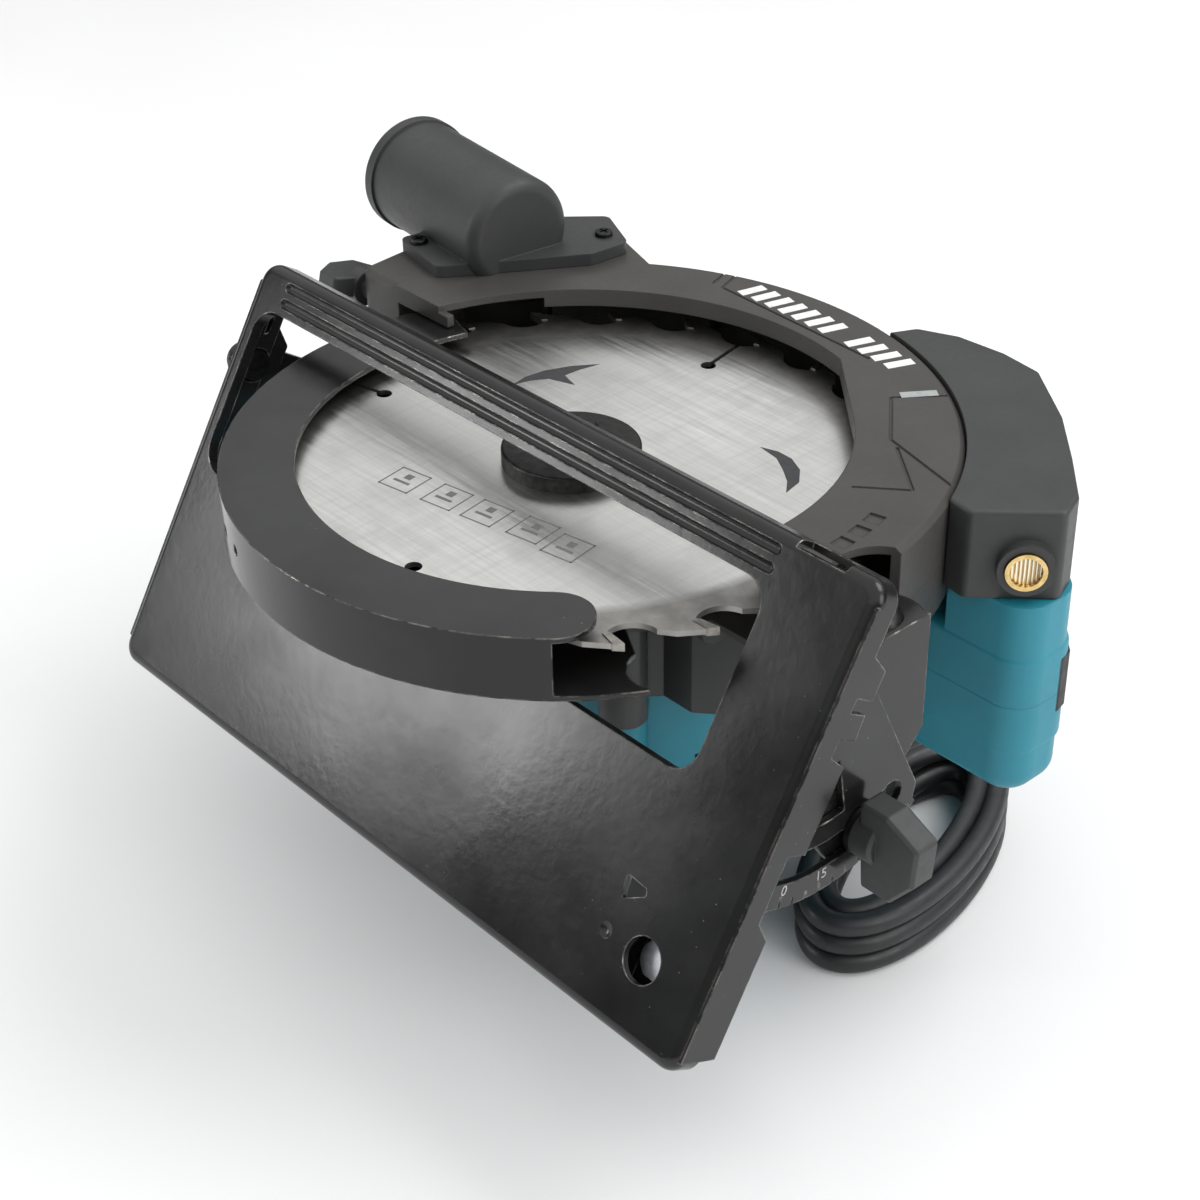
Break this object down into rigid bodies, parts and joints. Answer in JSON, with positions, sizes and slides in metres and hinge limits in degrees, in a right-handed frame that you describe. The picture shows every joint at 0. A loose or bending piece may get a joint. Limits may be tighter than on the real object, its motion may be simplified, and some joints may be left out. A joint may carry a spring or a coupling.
{
  "type": "circular saw",
  "caption": "Corded hand-held circular saw with a tilting sheet-steel base, swinging lower guard, dust port and laser guide.",
  "frame": {"origin": "centre of the flat end face of the motor, on which the saw stands", "axes": "+Z along the motor and blade spindles towards the open side of the blade, +X forward along the cut, +Y from the base plate towards the handle"},
  "size_m": [0.2944, 0.2381, 0.1908],
  "materials": {
    "saw_blade_steel": "brushed",
    "carbide": "ground",
    "bright_steel": "machined",
    "black_steel": "black oxide",
    "zinc": "zinc plated",
    "black_enamel": "gloss black enamel",
    "gear_case": "black painted casting",
    "guard_plastic": "semi matte",
    "dark_plastic": "fine grain",
    "teal_plastic": "fine grain",
    "laminations": "stacked sheet",
    "copper": "turned",
    "carbon": "sintered",
    "brass": "turned",
    "lens": "ribbed",
    "black_rubber": "soft"
  },
  "bodies": {
    "saw": {"armature_bearings": "bright_steel", "brush_caps": "dark_plastic", "carbon_brushes": "carbon", "cord": "black_rubber", "cord_coil": "black_rubber", "depth_bolt": "black_steel", "dust_port": "dark_plastic", "gear_housing": "gear_case", "gear_housing_screws": "black_steel", "grip_pad": "black_rubber", "guard_cover": "guard_plastic", "guard_retaining_ring": "bright_steel", "guard_screws": "black_steel", "guard_spring": "bright_steel", "handle_left": "teal_plastic", "handle_right": "teal_plastic", "handle_screws": "black_steel", "laser_barrel": "brass", "laser_housing": "dark_plastic", "laser_lens": "lens", "motor_end_cap": "dark_plastic", "motor_housing": "teal_plastic", "plug_body": "dark_plastic", "plug_pins": "brass", "spindle_bearings": "bright_steel", "stator": "laminations", "strain_relief": "black_rubber", "trigger_switch": "dark_plastic", "upper_guard": "guard_plastic"},
    "blade_spindle": {"blade": "saw_blade_steel", "blade_tips": "carbide", "spindle": "bright_steel", "inner_flange": "bright_steel", "outer_flange": "black_steel", "blade_bolt": "black_steel", "driven_gear": "bright_steel"},
    "armature": {"armature_shaft": "bright_steel", "pinion": "bright_steel", "armature_core": "laminations", "commutator": "copper", "cooling_fan": "dark_plastic"},
    "moving_guard": {"lower_guard": "black_enamel", "guard_lever": "black_enamel"},
    "depth_frame": {"front_bracket": "black_enamel", "depth_guide": "black_enamel", "depth_pin": "black_steel", "bevel_pins": "black_steel"},
    "base": {"base_plate": "black_enamel", "bevel_quadrant": "black_enamel", "rear_upright": "black_enamel", "base_rivets": "zinc", "fence_bracket": "black_enamel"},
    "bevel_clamp": {"bevel_knob": "dark_plastic", "bevel_knob_screw": "black_steel"},
    "depth_clamp": {"rear_knob": "dark_plastic"},
    "fence_clamp": {"fence_screw": "zinc"},
    "trigger_slider": {"trigger": "dark_plastic"},
    "lock_off": {"lock_off_button": "dark_plastic"},
    "spindle_lock": {"spindle_lock_button": "dark_plastic"}
  },
  "joints": [
    {"name": "blade_spin", "type": "hinge", "parent": "saw", "child": "blade_spindle", "pos_m": [0, -0.029, 0.15], "axis": [0, 0, 1], "continuous": true},
    {"name": "armature_spin", "type": "hinge", "parent": "saw", "child": "armature", "pos_m": [0, 0, 0.05], "axis": [0, 0, 1], "continuous": true},
    {"name": "guard_swing", "type": "hinge", "parent": "saw", "child": "moving_guard", "pos_m": [0, -0.029, 0.14], "axis": [0, 0, 1], "range_deg": [-108, 0], "stiffness_Nm_per_rad": 0.35, "springref_deg": 14.32},
    {"name": "depth_pivot", "type": "hinge", "parent": "saw", "child": "depth_frame", "pos_m": [0.11, -0.0248, 0.13], "axis": [0, 0, 1], "range_deg": [0, 20]},
    {"name": "bevel_tilt", "type": "hinge", "parent": "depth_frame", "child": "base", "pos_m": [0, -0.051, 0.142], "axis": [-1, 0, 0], "range_deg": [-31.2, 13.8]},
    {"name": "bevel_knob_turn", "type": "hinge", "parent": "depth_frame", "child": "bevel_clamp", "pos_m": [0.118, -0.03894, 0.09761], "axis": [1, 0, 0], "range_deg": [0, 180]},
    {"name": "depth_knob_turn", "type": "hinge", "parent": "saw", "child": "depth_clamp", "pos_m": [-0.12, -0.0045, 0.152], "axis": [1, 0, 0], "range_deg": [-180, 0]},
    {"name": "fence_screw_turn", "type": "hinge", "parent": "base", "child": "fence_clamp", "pos_m": [0.104, -0.09006, 0.07365], "axis": [0, 0.8554, -0.518], "range_deg": [-180, 180]},
    {"name": "trigger_pull", "type": "slide", "parent": "saw", "child": "trigger_slider", "axis": [0, 1, 0], "range_m": [0, 0.0055], "stiffness_N_per_m": 900, "springref_m": -0.002},
    {"name": "lock_off_press", "type": "slide", "parent": "saw", "child": "lock_off", "axis": [0, 0, -1], "range_m": [0, 0.003], "stiffness_N_per_m": 600, "springref_m": -0.002},
    {"name": "spindle_lock_press", "type": "slide", "parent": "saw", "child": "spindle_lock", "axis": [-1, 0, 0], "range_m": [0, 0.004], "stiffness_N_per_m": 600, "springref_m": -0.002}
  ],
  "couplings": [
    {"joint": "armature_spin", "follows": "blade_spin", "ratio": -4.2222}
  ]
}
